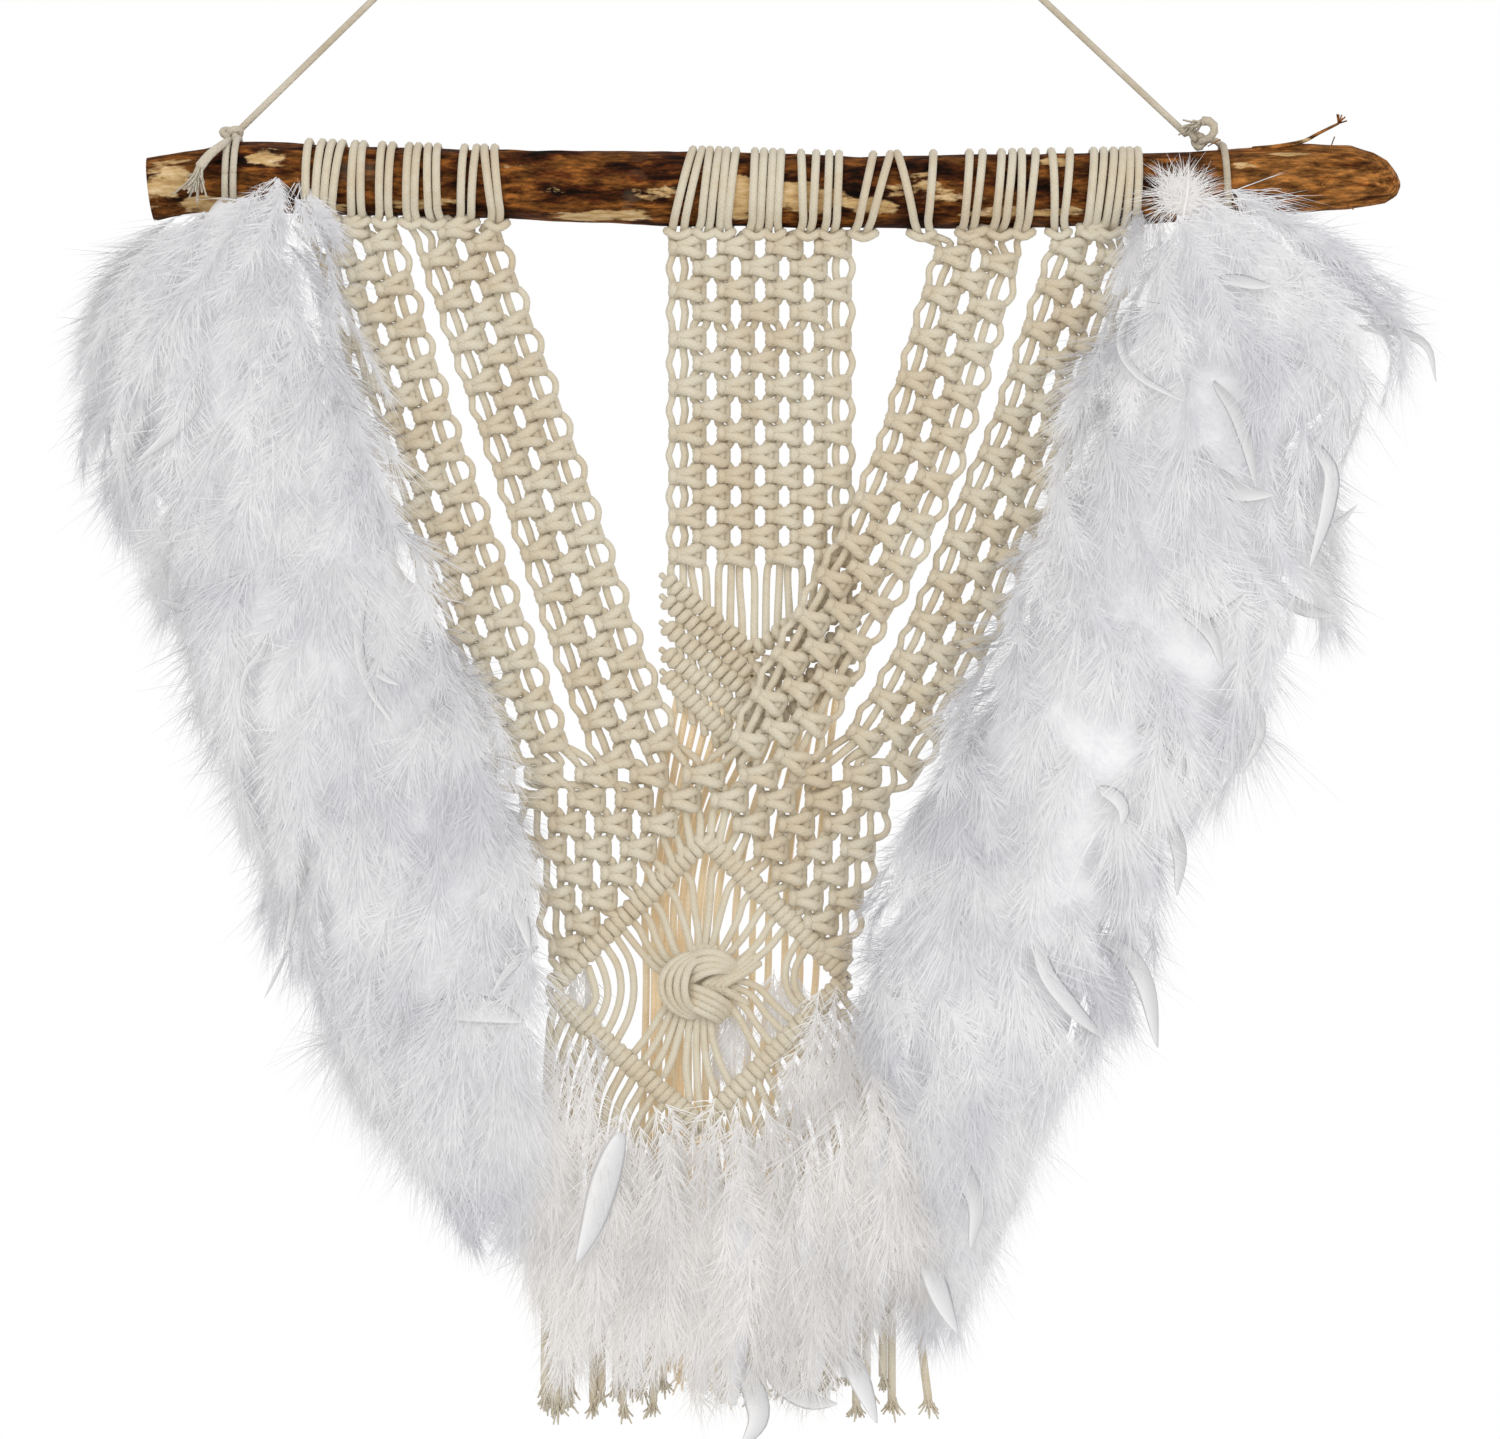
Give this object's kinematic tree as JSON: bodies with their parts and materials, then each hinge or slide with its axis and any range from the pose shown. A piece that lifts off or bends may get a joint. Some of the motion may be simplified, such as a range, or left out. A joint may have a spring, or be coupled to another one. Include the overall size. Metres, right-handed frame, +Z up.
{
  "type": "macrame wall hanging on driftwood branch",
  "caption": "Knotted cotton wall hanging with straps, a V-shaped net, a diamond and fringe, feather trims at its sides, tied to a driftwood branch that hangs from a cord.",
  "frame": {"origin": "the nail on which the top of the hanger cord bears", "axes": "+X along the branch to the right, +Y back towards the wall, +Z up"},
  "size_m": [0.6352, 0.0869, 0.8431],
  "materials": {
    "bark": "rough bark with worn pale patches",
    "cotton": "matte braided cotton cord",
    "hanger_cotton": "matte twisted cotton cord",
    "feathers": "soft white fluff"
  },
  "bodies": {
    "root": {"branch": "bark", "hanger_cord": "hanger_cotton", "hanger_knot_left": "hanger_cotton", "hanger_knot_right": "hanger_cotton", "strap_outer_left": "cotton", "strap_inner_left": "cotton", "strap_inner_right": "cotton", "strap_outer_right": "cotton", "centre_panel": "cotton", "vee_net": "cotton", "fringe": "cotton", "feather_trim_left": "feathers", "feather_trim_right": "feathers", "feather_fringe": "feathers"}
  },
  "joints": []
}
